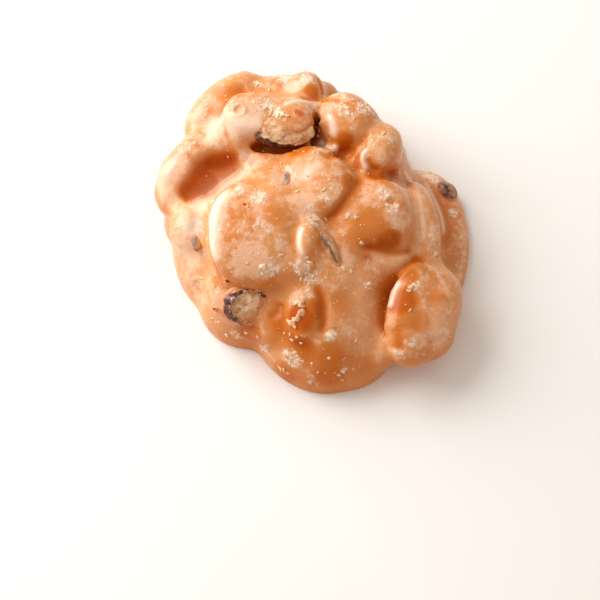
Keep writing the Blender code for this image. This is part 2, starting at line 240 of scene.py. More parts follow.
def stir_in(heap, lumps, radius):
    """Joins the lumps into the heap. The coating runs into every crease narrower than the radius."""
    stirred_in = bpy.data.collections.new("stirred_in")
    bpy.context.scene.collection.children.link(stirred_in)
    for lump in lumps:
        for home in list(lump.users_collection):
            home.objects.unlink(lump)
        stirred_in.objects.link(lump)
    set_modifier(heap, "BOOLEAN", operation="UNION", operand_type="COLLECTION", solver="EXACT",
                 collection=stirred_in)
    for lump in lumps:
        bpy.data.objects.remove(lump)
    bpy.data.collections.remove(stirred_in)
    set_modifier(heap, "REMESH", mode="VOXEL", voxel_size=GRAIN * MM)
    set_modifier(heap, "DISPLACE", strength=radius * MM, mid_level=0.0)
    set_modifier(heap, "REMESH", mode="VOXEL", voxel_size=GRAIN * MM)
    set_modifier(heap, "DISPLACE", strength=-radius * MM, mid_level=0.0)
    set_modifier(heap, "REMESH", mode="VOXEL", voxel_size=GRAIN * MM)


lumps = [puddle(name, *shape) for name, shape in PUDDLES.items()]
lumps += [coated_nut(name, *shape) for name, shape in MELTED_IN.items()]
heap = lumps.pop(0)
heap.name = "coated_nuts"
stir_in(heap, lumps, MELTED_RADIUS)
stir_in(heap, [coated_nut(name, *shape) for name, shape in STANDING_OUT.items()], CREASE_RADIUS)
for middle, size, turn in HOLLOWS.values():
    press_hollow(heap, middle, size, turn)
set_modifier(heap, "REMESH", mode="VOXEL", voxel_size=GRAIN * MM)
set_modifier(heap, "SMOOTH", factor=0.5, iterations=SMOOTHING_STEPS)

# The side that set against the sheet is cut off flat.
bpy.ops.object.mode_set(mode="EDIT")
bpy.ops.mesh.select_all(action="SELECT")
bpy.ops.mesh.bisect(plane_co=(0, 0, 0), plane_no=(0, 0, -1), use_fill=True, clear_outer=True)
bpy.ops.mesh.quads_convert_to_tris()
bpy.ops.mesh.select_all(action="SELECT")
bpy.ops.mesh.normals_make_consistent(inside=False)
bpy.ops.object.mode_set(mode="OBJECT")


# ---- relief, and what varies over the coating ----

def corners_of(piece):
    """The place of every corner of a piece, one row each."""
    places = np.empty(len(piece.data.vertices) * 3)
    piece.data.vertices.foreach_get("co", places)
    return places.reshape(-1, 3)


def facing_of(piece):
    """The way that the surface faces at every corner."""
    facing = np.empty(len(piece.data.vertices) * 3)
    piece.data.vertex_normals.foreach_get("vector", facing)
    return facing.reshape(-1, 3)


def put_corners(piece, places):
    piece.data.vertices.foreach_set("co", np.ascontiguousarray(places, dtype=np.float32).ravel())
    piece.data.update()


def keep_value(piece, name, values):
    """Keeps one value for each corner on the mesh, where its material reads it by name."""
    layer = piece.data.attributes.new(name, "FLOAT", "POINT")
    layer.data.foreach_set("value", np.asarray(values, dtype=np.float32))


def neighbour_mean(piece, values, rounds):
    """Averages a value over each corner's neighbours, as many times as asked."""
    edges = np.empty(len(piece.data.edges) * 2, dtype=np.int32)
    piece.data.edges.foreach_get("vertices", edges)
    first, second = edges.reshape(-1, 2).T
    count = np.bincount(edges, minlength=len(values)).astype(float)
    values = np.array(values, dtype=float).reshape(len(count), -1)
    for _ in range(rounds):
        total = np.stack([
            np.bincount(first, column[second], len(count)) + np.bincount(second, column[first], len(count))
            for column in values.T], axis=1)
        values = 0.5 * values + 0.5 * total / count[:, None]
    return values.squeeze()


def fade(values, low, high):
    """0 below low, 1 above high, and a smooth step between."""
    t = np.clip((np.asarray(values, dtype=float) - low) / (high - low), 0, 1)
    return t * t * (3 - 2 * t)


def waves(places, size_mm, seed=0.0, octaves=2):
    """Smooth random waves of one size, from about -1 to 1, at each place."""
    scale = 1.0 / (size_mm * MM)
    offset = Vector((seed * 7.1, seed * 3.7, seed * 5.3))
    return np.array([noise.fractal(Vector(p) * scale + offset, 1.0, 2.0, octaves) for p in places])


# The heap's middle is put over the middle of its solid.
places = corners_of(heap)
node_low, node_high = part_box("peanut_cluster")
middle_now = (places.min(0) + places.max(0)) / 2
middle_wanted = (np.array(node_low) + np.array(node_high)) / 2
shift = (middle_wanted - middle_now) * (1, 1, 0)
places += shift
put_corners(heap, places)


def seen_at(pixel):
    """Where a place of the photograph's frame lies on the cluster, and how the coating faces there."""
    half = SENSOR / LENS / 2
    across = (pixel[0] / PHOTO_SIDE * 2 - 1) * half
    up = (1 - pixel[1] / PHOTO_SIDE * 2) * half
    ray = (LOOKED_AT - EYE).to_track_quat("-Z", "Y") @ Vector((across, up, -1.0))
    hit, normal, _, _ = coating.ray_cast(EYE, ray.normalized())
    return hit, normal


def surface_of(piece):
    """A piece's surface, ready to be looked up by a ray or by its nearest place."""
    piece.data.calc_loop_triangles()
    triangles = [tuple(triangle.vertices) for triangle in piece.data.loop_triangles]
    return BVHTree.FromPolygons([vertex.co for vertex in piece.data.vertices], triangles)


def patches(places, spots):
    """How much of a named patch covers each place. Each spot has a pixel, a radius in mm and a strength."""
    cover = np.zeros(len(places))
    for pixel, radius, strength in spots:
        centre, _ = seen_at(pixel)
        away = np.linalg.norm(places - np.array(centre), axis=1) / (radius * MM)
        cover = np.maximum(cover, strength * (1 - fade(away, 0.45, 1.0)))
    return cover


# Where the skin of the coating is broken.
# pixel: radius, depth and lip of the hole in mm, and how dark the painted shade in it is
PITS = {
    (245, 204): (0.26, 0.5, 0.03, 0.45),
    (228, 281): (0.36, 0.8, 0.20, 0.6),
    (215, 309): (0.30, 0.6, 0.28, 0.6),
    (239, 109): (0.85, 0.32, 0.14, 0.0),
    (392, 201): (0.90, 0.28, 0.10, 0.0),
    (283, 118): (0.50, 0.4, 0.10, 0.35),
}
coating = surface_of(heap)
pits = [(seen_at(pixel)[0], pit) for pixel, pit in PITS.items()]

# The mesh is halved and halved again round each pit, so that it can hold the pit's edge.
HALVINGS = 2
FINE_REACH = 2.2
bpy.ops.object.select_all(action="DESELECT")
heap.select_set(True)
bpy.context.view_layer.objects.active = heap
for _ in range(HALVINGS):
    bpy.ops.object.mode_set(mode="EDIT")
    shape = bmesh.from_edit_mesh(heap.data)
    for face in shape.faces:
        there = face.calc_center_median()
        face.select = any((there - centre).length < FINE_REACH * pit[0] * MM for centre, pit in pits)
    bmesh.update_edit_mesh(heap.data)
    bpy.ops.mesh.subdivide(number_cuts=1, smoothness=0.0)
    bpy.ops.mesh.select_all(action="SELECT")
    bpy.ops.mesh.quads_convert_to_tris()
    bpy.ops.object.mode_set(mode="OBJECT")

# How far each corner lies below the mean of what is round it, over a whole nut and over a narrow crease.
NUT_ROUNDS, CREASE_ROUNDS = 160, 14
places = corners_of(heap)
facing = facing_of(heap)
coarser = (FINE_GRAIN / GRAIN) ** 2
round_nut = neighbour_mean(heap, places, round(NUT_ROUNDS * coarser))
below_nut = ((round_nut - places) * facing).sum(1) / MM
round_crease = neighbour_mean(heap, places, round(CREASE_ROUNDS * coarser))
in_crease = ((round_crease - places) * facing).sum(1) / MM

# Folds in the coating, each followed along its length. name: width and height in mm (a groove is below 0),
# how thin the coating is there, which also paints shade into grooves and gaps, how milky it is, which also
# paints a sheen, how pale it is as a painted highlight, and the pixels it runs through
FOLDS = {
    "groove_above_lower_right": (0.8, -0.45, 1.0, 0.0, 0.0,
        ((426, 262), (417, 258), (408, 264), (397, 275), (388, 291), (384, 306))),
    "groove_left_of_lower_right": (0.8, -0.95, 1.3, 0.0, 0.0,
        ((396, 276), (388, 291), (384, 308), (382, 322), (384, 338))),
    "edge_of_lower_right": (0.8, 0.35, 0.6, 0.0, 0.0,
        ((426, 270), (416, 266), (407, 271), (399, 279), (393, 288), (389, 300), (387, 318), (387, 336))),
    "ridge_under_lower_right": (0.7, 0.25, 0.0, 0.3, 0.0,
        ((387, 322), (384, 336), (381, 350), (379, 364))),
    "far_edge_of_lower_right": (0.5, 0.15, 0.0, 0.0, 0.3,
        ((424, 263), (436, 272), (445, 286), (450, 300))),
    "face_of_lower_right": (1.5, -0.35, 0.7, 0.0, 0.0, ((396, 326), (399, 340), (398, 350))),
    "step_on_lower_right": (0.8, 0.2, 0.0, 0.2, 0.0, ((426, 300), (425, 316), (424, 334))),
    "crease_right_of_right_big": (0.7, -0.4, 0.0, 0.5, 0.0,
        ((402, 168), (406, 184), (413, 202), (418, 222), (419, 240), (417, 255))),
    "ridge_on_right_slim": (0.6, 0.25, 0.0, 0.6, 0.3, ((414, 182), (420, 200), (423, 220), (423, 244))),
    "edge_of_right_slim": (0.5, 0.3, 0.0, 0.3, 0.7,
        ((424, 182), (432, 194), (438, 207), (443, 222), (444, 234))),
    "foot_of_right_slim": (0.9, -0.5, 0.5, 0.0, 0.0,
        ((430, 186), (438, 198), (445, 214), (448, 232), (444, 250))),
    "under_right_big": (0.8, -0.4, 0.9, 0.0, 0.0,
        ((360, 246), (374, 248), (390, 252), (405, 252), (412, 249))),
    "band_under_right_big": (1.6, 0.2, 0.0, 0.4, 0.0, ((368, 258), (384, 262), (398, 262), (410, 256))),
    "between_middle_and_right_big": (0.9, -0.5, 0.8, 0.0, 0.0,
        ((362, 176), (356, 184), (348, 196), (341, 206), (334, 214), (324, 222))),
    "foot_of_shoulder_low": (1.1, -0.5, 1.0, 0.0, 0.0, ((366, 172), (376, 176), (388, 176), (398, 174))),
    "left_of_shoulder_low": (0.8, -0.5, 0.6, 0.0, 0.0, ((367, 144), (360, 150), (356, 160), (360, 172))),
    "glow_under_shoulder_low": (0.8, -0.15, 1.0, 0.0, 0.0, ((367, 158), (371, 166), (379, 171))),
    "rim_of_shoulder_low": (0.6, 0.3, 0.0, 0.2, 0.8, ((368, 148), (362, 154), (363, 163), (367, 170))),
    "foot_of_shoulder": (0.9, -0.5, 0.7, 0.0, 0.0,
        ((319, 152), (330, 156), (342, 155), (352, 150), (362, 141), (370, 134))),
    "lip_of_shoulder": (0.6, 0.3, 0.0, 0.8, 0.9, ((320, 140), (324, 146), (331, 149), (338, 147))),
    "between_top_lumps": (0.5, -0.4, 0.7, 0.0, 0.0, ((318, 78), (321, 84), (323, 92), (323, 99))),
    "foot_of_top_right": (0.8, -0.4, 0.8, 0.0, 0.0,
        ((300, 97), (308, 98), (318, 99), (330, 99), (342, 100))),
    "rim_of_ledge_end": (0.5, 0.35, 0.0, 0.0, 0.8,
        ((284, 104), (294, 102), (304, 102), (313, 105), (317, 109))),
    "crest_inside": (1.6, -0.35, 0.9, 0.0, 0.0,
        ((214, 118), (221, 108), (228, 99), (237, 92), (248, 90))),
    "valley_behind_ledge": (1.7, 0.0, 0.0, 1.0, 0.3, ((206, 134), (214, 126), (222, 117), (229, 108))),
    "crest_outside": (1.6, 0.0, 0.0, 0.0, 0.1,
        ((188, 130), (193, 118), (200, 106), (210, 94), (222, 84))),
    "brow_of_bean": (1.2, 0.4, 0.0, 0.3, 0.0,
        ((176, 196), (181, 182), (188, 169), (197, 158), (209, 148), (222, 143))),
    "flank_of_bean": (2.4, -0.45, 1.3, 0.0, 0.0,
        ((183, 199), (190, 186), (200, 174), (212, 166), (226, 163), (240, 158))),
    "foot_of_bean": (0.8, -0.4, 0.7, 0.0, 0.0,
        ((184, 200), (196, 197), (207, 192), (219, 182), (232, 174), (244, 166))),
    "valley_below_bean": (2.0, 0.0, 0.0, 1.0, 0.25,
        ((190, 208), (203, 202), (214, 192), (226, 183), (240, 176), (252, 168))),
    "left_wall": (1.3, 0.0, 0.0, 0.0, 1.0,
        ((232, 189), (222, 196), (215, 206), (212, 218), (211, 231), (213, 246), (217, 262))),
    "below_left_wall": (0.6, -0.6, 0.3, 0.0, 0.0,
        ((213, 200), (208, 216), (207, 232), (208, 248), (213, 263), (223, 279))),
    "top_of_bean": (2.2, 0.0, 0.0, 0.8, 0.3, ((159, 192), (164, 178), (174, 166), (188, 156))),
    "sheen_on_top": (1.3, 0.0, 0.0, 0.9, 0.2, ((284, 84), (291, 88), (298, 92))),
    "face_of_ledge": (2.2, 0.0, 0.0, 0.9, 0.9, ((226, 130), (238, 124), (252, 124), (262, 124))),
    "left_shelf": (3.0, 0.0, 0.0, 0.7, 0.0, ((186, 215), (184, 235), (188, 255), (198, 272))),
    "left_of_small_middle": (0.5, 0.15, 0.0, 0.8, 0.8, ((303, 226), (300, 236), (300, 246), (302, 256))),
    "hollow_in_front": (1.0, -0.6, 1.0, 0.0, 0.0,
        ((316, 286), (322, 296), (324, 308), (324, 320), (321, 334))),
    "edge_of_hollow": (0.7, 0.15, 0.0, 0.2, 0.0,
        ((322, 284), (328, 296), (330, 310), (330, 322), (327, 336))),
    "front_slope": (2.6, 0.0, 0.9, 0.0, 0.0,
        ((276, 310), (282, 326), (292, 338), (304, 348), (312, 340))),
    "groove_at_torn_raisin": (1.2, -0.3, 0.9, 0.0, 0.0, ((268, 318), (277, 312), (281, 302))),
    "milky_middle": (3.2, 0.0, 0.0, 0.25, 0.0,
        ((352, 268), (358, 290), (362, 312), (366, 335), (364, 356))),
    "milky_side": (3.0, 0.0, 0.0, 0.35, 0.0, ((436, 300), (440, 318), (438, 336), (430, 350))),
    "sheen_on_lower_right": (0.6, 0.0, 0.0, 0.8, 1.1, ((390, 308), (392, 299), (395, 290), (399, 281))),
    "sheen_on_middle": (0.9, 0.0, 0.0, 0.9, 0.45, ((304, 181), (308, 172), (314, 166), (322, 161))),
    "sheen_on_shoulder": (0.8, 0.0, 0.0, 0.9, 0.6, ((328, 114), (331, 121), (333, 129), (332, 137))),
    "scuff": (0.35, 0.2, 0.2, 0.0, 0.3, ((186, 275), (193, 280), (201, 277), (203, 283), (212, 285))),
    "second_scuff": (0.35, 0.2, 0.0, 0.0, 0.3, ((188, 279), (197, 285), (195, 289))),
    "red_on_ledge": (0.35, -0.1, 0.6, 0.0, 0.0, ((296, 111), (300, 113), (304, 115))),
    "shadowed_gap": (0.9, -0.2, 1.0, 0.0, 0.0,
        ((254, 143), (266, 145), (280, 146), (294, 146), (306, 145))),
    "gap_right_of_ledge": (0.6, -0.5, 1.0, 0.0, 0.0, ((315, 119), (316, 128), (315, 138), (313, 146))),
}


def along(line, width):
    """How near each place is to a line through pixels of the photograph: 1 on it, less at its ends."""
    marks = [np.array(seen_at(pixel)[0]) for pixel in line]
    least = np.full(len(places), 1.0)
    part = np.zeros(len(places))
    for index, (start, end) in enumerate(zip(marks[:-1], marks[1:])):
        step = end - start
        share = np.clip((places - start) @ step / (step @ step), 0, 1)
        away = np.linalg.norm(places - start - share[:, None] * step, axis=1)
        part = np.where(away < least, (index + share) / (len(marks) - 1), part)
        least = np.minimum(least, away)
    return np.exp(-(least / (width * MM)) ** 2) * np.sqrt(np.clip(8 * part * (1 - part), 0, 1))


# Spots of painted shade, coloured as thin coating: clean, glossy and orange.
THIN_AND_SHADED = (
    ((203, 182), 4.4, 1.3), ((222, 168), 3.2, 0.9), ((189, 190), 3.0, 1.2), ((228, 163), 3.0, 0.5),
    ((285, 153), 4.5, 0.9), ((258, 152), 2.6, 0.8), ((300, 150), 3.0, 0.9), ((312, 92), 2.2, 0.8),
    ((340, 148), 3.0, 0.7), ((370, 229), 5.2, 0.5), ((388, 242), 3.6, 0.8), ((316, 310), 3.0, 0.9),
    ((300, 318), 3.8, 1.2), ((404, 318), 3.6, 0.5), ((401, 300), 4.2, 1.0), ((408, 276), 2.6, 0.7),
    ((418, 320), 3.0, 0.5), ((250, 332), 3.6, 0.6), ((322, 244), 2.0, 0.4), ((345, 140), 2.4, 0.8),
    ((350, 182), 2.4, 0.8), ((436, 300), 2.0, 0.3), ((284, 372), 3.6, 0.5), ((330, 356), 3.6, 0.4),
    ((344, 302), 3.4, 0.4), ((246, 214), 3.4, 0.1), ((292, 212), 2.4, 0.3), ((275, 215), 3.0, 0.3),
    ((330, 375), 4.0, 0.4),
)
# Spots where a thick coating clouded over as it set.
HAZY = (
    ((236, 122), 3.0, 0.8), ((255, 128), 2.4, 0.7), ((292, 88), 2.2, 0.9), ((176, 178), 3.4, 0.8),
    ((168, 196), 3.4, 0.6), ((240, 155), 1.8, 0.4), ((402, 222), 3.4, 0.5), ((390, 214), 2.6, 0.2),
    ((192, 258), 3.4, 0.6), ((190, 245), 4.0, 0.9), ((200, 290), 4.0, 0.5), ((218, 300), 2.6, 0.8),
    ((345, 260), 3.0, 0.5), ((440, 335), 3.4, 0.6), ((358, 150), 1.2, 0.8), ((352, 190), 2.0, 0.4),
    ((334, 190), 2.6, 0.25), ((250, 264), 5.0, 1.0), ((300, 206), 4.0, 0.9), ((246, 118), 4.0, 0.6),
    ((374, 192), 4.0, 0.35), ((385, 158), 2.6, 0.4), ((262, 212), 3.0, 0.3), ((172, 172), 3.2, 0.9),
    ((215, 142), 3.0, 0.5),
)
# Spots with a dry crust. The coating there was rubbed as it set.
DUSTY = (
    ((262, 104), 3.2, 0.8), ((278, 113), 2.2, 1.0), ((243, 102), 2.2, 0.6), ((286, 78), 3.0, 0.8),
    ((308, 80), 2.4, 0.8), ((344, 110), 2.0, 1.0), ((350, 116), 1.6, 1.0), ((365, 108), 2.6, 0.8),
    ((376, 118), 2.2, 0.6), ((238, 191), 1.8, 0.9), ((258, 196), 2.4, 0.7), ((222, 140), 3.0, 0.5),
    ((306, 210), 3.0, 0.4), ((262, 228), 3.0, 0.5), ((284, 244), 2.6, 0.4), ((270, 268), 3.0, 0.6),
    ((252, 246), 2.6, 0.4), ((424, 174), 2.0, 0.9), ((434, 178), 2.0, 0.9), ((442, 192), 1.8, 0.8),
    ((453, 213), 1.5, 1.0), ((384, 192), 2.4, 0.7), ((392, 208), 2.0, 0.8), ((352, 214), 1.6, 0.7),
    ((362, 204), 2.6, 0.4), ((314, 221), 1.8, 1.0), ((320, 226), 1.6, 0.6), ((302, 268), 2.4, 0.7),
    ((310, 276), 2.2, 0.6), ((412, 288), 1.6, 1.0), ((420, 284), 1.0, 0.8), ((296, 356), 4.0, 0.7),
    ((318, 378), 4.0, 0.6), ((342, 370), 1.8, 0.9), ((331, 336), 1.8, 0.9), ((238, 334), 2.4, 0.8),
    ((262, 346), 3.0, 0.7), ((368, 286), 1.4, 0.9), ((256, 85), 1.6, 1.0), ((402, 352), 2.4, 0.5),
    ((390, 345), 2.4, 0.4), ((214, 290), 2.0, 0.5), ((372, 226), 1.2, 0.7), ((340, 100), 3.0, 0.7),
    ((312, 166), 1.6, 0.6), ((385, 140), 2.2, 0.6), ((300, 330), 2.6, 0.8),
)
# Spots where a raisin just under the coating greys it.
GREYISH = (
    ((285, 177), 3.2, 0.7), ((195, 228), 2.6, 1.0), ((440, 177), 1.6, 0.8), ((333, 243), 1.2, 0.6),
    ((330, 233), 0.9, 0.6), ((246, 157), 1.8, 0.5), ((303, 136), 1.6, 0.6), ((262, 131), 0.9, 0.7),
    ((262, 312), 1.0, 0.4),
)
# Spots with red bits of peanut skin just under the surface.
REDDISH = (
    ((250, 83), 0.5, 1.0), ((300, 113), 1.1, 1.0), ((297, 111), 0.8, 1.0), ((264, 156), 1.1, 0.8),
    ((252, 162), 1.0, 0.8), ((233, 170), 0.5, 0.7), ((205, 192), 0.4, 0.7), ((174, 155), 1.8, 0.35),
    ((368, 259), 1.2, 1.0), ((364, 257), 0.8, 0.8), ((430, 340), 1.2, 0.9), ((312, 384), 0.5, 0.9),
    ((331, 205), 0.6, 0.6), ((325, 207), 0.5, 0.5), ((342, 356), 1.2, 0.3), ((168, 212), 0.7, 0.5),
    ((392, 201), 0.8, 0.7), ((286, 247), 0.6, 0.4), ((212, 228), 0.4, 0.4), ((426, 273), 0.7, 0.6),
)
coating = surface_of(heap)
thin_and_shaded = patches(places, THIN_AND_SHADED)
milky_and_sheen = np.zeros(len(places))
pale = np.zeros(len(places))
above_base = fade(places[:, 2] / MM, 0.3, 1.2)
folds = np.zeros(len(places))
for width, height, thinness_and_shade, milkiness_and_sheen, painted_highlight, line in FOLDS.values():
    near_line = along(line, width)
    folds += height * near_line
    thin_and_shaded = np.maximum(thin_and_shaded, thinness_and_shade * near_line)
    milky_and_sheen = np.maximum(milky_and_sheen, milkiness_and_sheen * near_line)
    pale = np.maximum(pale, painted_highlight * near_line)
# painted shadow under and beside the ledge and in the groove left of the lower right nut
shadowed = 0.15 * along(FOLDS["shadowed_gap"][-1], 0.7) + 0.8 * along(FOLDS["gap_right_of_ledge"][-1], 0.6)
shadowed += 0.3 * along(FOLDS["groove_left_of_lower_right"][-1], 0.6)
dusty_patch = patches(places, DUSTY)
patchy = waves(places, 7, 1)
topside = fade(facing[:, 2], 0.3, 0.9)
dusty = topside * fade(-below_nut, -0.4, 0.6) * (0.3 + 0.4 * patchy)
dusty = np.clip(np.maximum(dusty, dusty_patch * (0.85 + 0.4 * patchy)) - thin_and_shaded * 0.6 - milky_and_sheen * 0.5, 0, 1)

# The set skin isn't quite level: slow waves all over, and a fine crust where it is dusty.
relief = 0.10 * waves(places, 4.5, 2) + 0.02 * waves(places, 1.6, 3)
relief += dusty * (0.10 * fade(waves(places, 1.1, 4, 3), 0.0, 0.4) + 0.05 * waves(places, 0.6, 5, 2))
relief += folds

# The slim nut at the right shows its ribs through the coating.
SLIM_NUT = (21.5, 0.5, 12.0)
RIBBED_REACH = 5.5
RIB_SPACING = 1.5
from_slim = places / MM - SLIM_NUT
ribs = np.cos((from_slim[:, 0] * 0.97 + from_slim[:, 1] * 0.24) * 2 * math.pi / RIB_SPACING)
off_slim = np.linalg.norm(from_slim * (1.4, 0.8, 0.6), axis=1) / RIBBED_REACH
relief += 0.05 * ribs * (1 - fade(off_slim, 0.5, 1.0))

painted_pit_shade = np.zeros(len(places))
for centre, (radius, depth, lip, darkness) in pits:
    away = np.linalg.norm(places - np.array(centre), axis=1) / (radius * MM)
    relief += lip * np.exp(-((away - 1.35) / 0.4) ** 2) - depth * np.exp(-(away ** 4))
    painted_pit_shade = np.maximum(painted_pit_shade, darkness * np.exp(-(away / 0.9) ** 4))
shaped = places + facing * (relief * above_base * MM)[:, None]

# The top of the ledge is a little lower, so that its crumbs stay under the full height of the cluster.
CRUMB_ROOM, TOP_OF_LEDGE = 0.32, 1.6
shaped[:, 2] -= CRUMB_ROOM * MM * fade(shaped[:, 2], node_high[2] - TOP_OF_LEDGE * MM, node_high[2])
put_corners(heap, np.clip(shaped, node_low, node_high))

# Painted shade: steep sides that face away from the light, to the front and the right, and the creases take
# the deep orange of thin coating.
facing_away_from_light = fade(facing @ np.array((0.42, -0.80, -0.42)), -0.05, 0.55)
thin_shaded_and_turned_away = thin_and_shaded + 0.4 * facing_away_from_light + 0.15 * fade(in_crease, 0.02, 0.12) - 0.6 * milky_and_sheen
keep_value(heap, "thin_and_shaded", np.clip(thin_shaded_and_turned_away, 0, 1.4))
bare = 1 - 0.9 * np.clip(thin_and_shaded, 0, 1)
# milky coating together with painted sheen
keep_value(heap, "milky_and_sheen", milky_and_sheen * bare)
keep_value(heap, "hazy", patches(places, HAZY) * bare)
keep_value(heap, "greyish", patches(places, GREYISH))
# painted highlights
keep_value(heap, "pale", pale)
keep_value(heap, "dusty", dusty)
keep_value(heap, "reddish", patches(places, REDDISH))
# painted shade in the pits and painted shadow in the gaps and the groove
keep_value(heap, "painted_shade", np.clip(np.maximum(painted_pit_shade, shadowed), 0, 1))
heap.data.shade_smooth()
coating = surface_of(heap)


# ---- finish ----

def seen(red, green, blue):
    """A colour as the eye reads it, 0 to 255, turned into the light that the shader works with."""
    def channel(value):
        value /= 255
        return value / 12.92 if value <= 0.04045 else ((value + 0.055) / 1.055) ** 2.4
    return (channel(red), channel(green), channel(blue), 1.0)


class Wire:
    """What leaves a node, so that a pattern can be written as a sum."""

    def __init__(self, finish, socket):
        self.finish = finish
        self.socket = socket

    def __add__(self, other):
        return self.finish.maths("ADD", self, other)

    def __sub__(self, other):
        return self.finish.maths("SUBTRACT", self, other)

    def __rsub__(self, other):
        return self.finish.maths("SUBTRACT", other, self)

    def __mul__(self, other):
        return self.finish.maths("MULTIPLY", self, other)

    __radd__ = __add__
    __rmul__ = __mul__


class Finish:
    """A material under way. Its constants are set on the shader, and its patterns are wired to it."""

    def __init__(self, name, **constants):
        self.material = bpy.data.materials.new(name)
        self.material.use_nodes = True
        self.nodes = self.material.node_tree.nodes
        self.links = self.material.node_tree.links
        self.shader = self.nodes["Principled BSDF"]
        for socket, value in constants.items():
            self.shader.inputs[socket.replace("_", " ").title().replace("Ior", "IOR")].default_value = value
        self.place = self.node("ShaderNodeTexCoord", output="Object")

    def node(self, kind, inputs=None, output=0, **settings):
        node = self.nodes.new(kind)
        for name, value in settings.items():
            setattr(node, name, value)
        for name, value in (inputs or {}).items():
            if isinstance(value, Wire):
                self.links.new(value.socket, node.inputs[name])
            else:
                node.inputs[name].default_value = value
        return Wire(self, node.outputs[output])

    def maths(self, operation, first, second):
        return self.node("ShaderNodeMath", {0: first, 1: second}, operation=operation)

    def attribute(self, name):
        return self.node("ShaderNodeAttribute", output="Fac", attribute_name=name)

    def step(self, value, low, high, start=0.0, end=1.0):
        """start below low, end above high, and smooth between them."""
        return self.node("ShaderNodeMapRange", {"Value": value, 1: low, 2: high, 3: start, 4: end},
                         interpolation_type="SMOOTHSTEP")

    def grain(self, size_mm, detail=3.0, rough=0.5):
        return self.node("ShaderNodeTexNoise", {"Vector": self.place, "Scale": 1 / (size_mm * MM),
                                                "Detail": detail, "Roughness": rough})

    def dots(self, size_mm, output="Distance"):
        return self.node("ShaderNodeTexVoronoi", {"Vector": self.place, "Scale": 1 / (size_mm * MM)},
                         output=output)

    def blend(self, first, second, amount):
        return self.node("ShaderNodeMix", {0: amount, 6: first, 7: second}, output=2, data_type="RGBA")

    def bump(self, height, depth_mm):
        return self.node("ShaderNodeBump", {"Height": height, "Distance": depth_mm * MM, "Strength": 1.0})

    def feed(self, **wires):
        for socket, wire in wires.items():
            self.links.new(wire.socket, self.shader.inputs[socket.replace("_", " ").title()])

    def dress(self, piece):
        piece.data.materials.clear()
        piece.data.materials.append(self.material)


coat = Finish("set_coating", coat_roughness=0.22, subsurface_weight=0.1, subsurface_radius=(1.0, 0.6, 0.25),
              subsurface_scale=1.2 * MM, ior=1.46, specular_ior_level=0.08)
thinness_and_shade = coat.attribute("thin_and_shaded")
milkiness_and_sheen = coat.attribute("milky_and_sheen")
haziness = coat.attribute("hazy")
dust = coat.attribute("dusty")
painted_highlight = coat.attribute("pale")
broad = coat.grain(8, detail=2)
veil = coat.grain(2.6, detail=3, rough=0.6)
cloudy = coat.grain(1.1, detail=3, rough=0.6)
fine = coat.grain(0.42, detail=3, rough=0.6)

# toasted nut colour, deep orange where the coating is thin and in painted shade, milky where it is thick
# and in painted sheen, and pale in painted highlights
colour = coat.blend(seen(217, 147, 87), seen(207, 127, 60), coat.step(broad, 0.35, 0.65))
# painted shade in the orange of thin coating, deepest in shaded grooves and gaps
colour = coat.blend(colour, seen(202, 108, 24), coat.step(thinness_and_shade + cloudy * 0.3, 0.05, 1.0))
colour = coat.blend(colour, seen(168, 66, 0), coat.step(thinness_and_shade + cloudy * 0.4, 0.7, 1.7))
# milky coating and painted sheen
colour = coat.blend(colour, seen(241, 202, 174), milkiness_and_sheen * 0.7)
# painted highlights
colour = coat.blend(colour, seen(250, 230, 210), painted_highlight * 0.8)
greyness = coat.attribute("greyish") * coat.step(cloudy + fine * 0.3, 0.45, 0.75)
colour = coat.blend(colour, seen(186, 168, 152), greyness)
redness = coat.attribute("reddish") * coat.step(fine, 0.3, 0.55)
colour = coat.blend(colour, seen(186, 66, 30), redness * 0.7)
toasted = coat.step(fine * 0.6 + cloudy * 0.4, 0.5, 0.32, 0.0, 0.35)
colour = coat.blend(colour, seen(168, 96, 48), toasted)

# a soft dry veil, a granular crust and single specks of sugar
haze = coat.step(veil * 0.6 + cloudy * 0.7 + dust * 0.4 + haziness * 0.3 - thinness_and_shade * 0.35, 0.62, 0.96)
colour = coat.blend(colour, seen(242, 200, 168), haze * 0.6)
crust = coat.step(cloudy * 0.7 + fine * 0.5 + dust * 0.36 - thinness_and_shade * 0.05, 0.75, 0.88)
colour = coat.blend(colour, seen(248, 222, 196), crust * 0.78)
grain_size = coat.step(coat.dots(0.9, output="Color"), 0.55, 0.95, 0.0, 0.2)
speck = coat.step(coat.dots(0.9) - grain_size, -0.04, 0.02, 1.0, 0.0)
sifted = coat.step(coat.dots(0.5), 0.16, 0.28, 1.0, 0.0)
sifted = sifted * coat.step(veil + cloudy * 0.3 - thinness_and_shade * 0.3, 0.52, 0.78)
colour = coat.blend(colour, seen(248, 218, 186), sifted * 0.5)
colour = coat.blend(colour, seen(252, 228, 200), speck * 0.65)
# painted shade in the pits and painted shadow in the gaps, nearly black
colour = coat.blend(colour, seen(58, 18, 6), coat.attribute("painted_shade"))
dry = crust + speck + haze * 0.3
coat.feed(base_color=colour, roughness=coat.step(dry, 0.0, 1.0, 0.42, 0.7))
coat.feed(coat_weight=coat.step(dry + thinness_and_shade * 0.5 - painted_highlight * 0.5, 0.0, 0.8, 0.75, 0.0))
coat.feed(normal=coat.bump(crust * 0.8 + speck * 0.35 + cloudy * 0.25 + fine * 0.12, 0.14))
coat.dress(heap)
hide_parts("peanut_cluster")
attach(heap, "root")

# ---- Raisins --------------------------------------------------------------------------------
# Sun-dried grapes, stirred in with the nuts. Their skin is dark and wrinkled, with a grey bloom where the
# coating is thinnest, and the coating holds them by their sides. Two are torn and show their tan flesh.

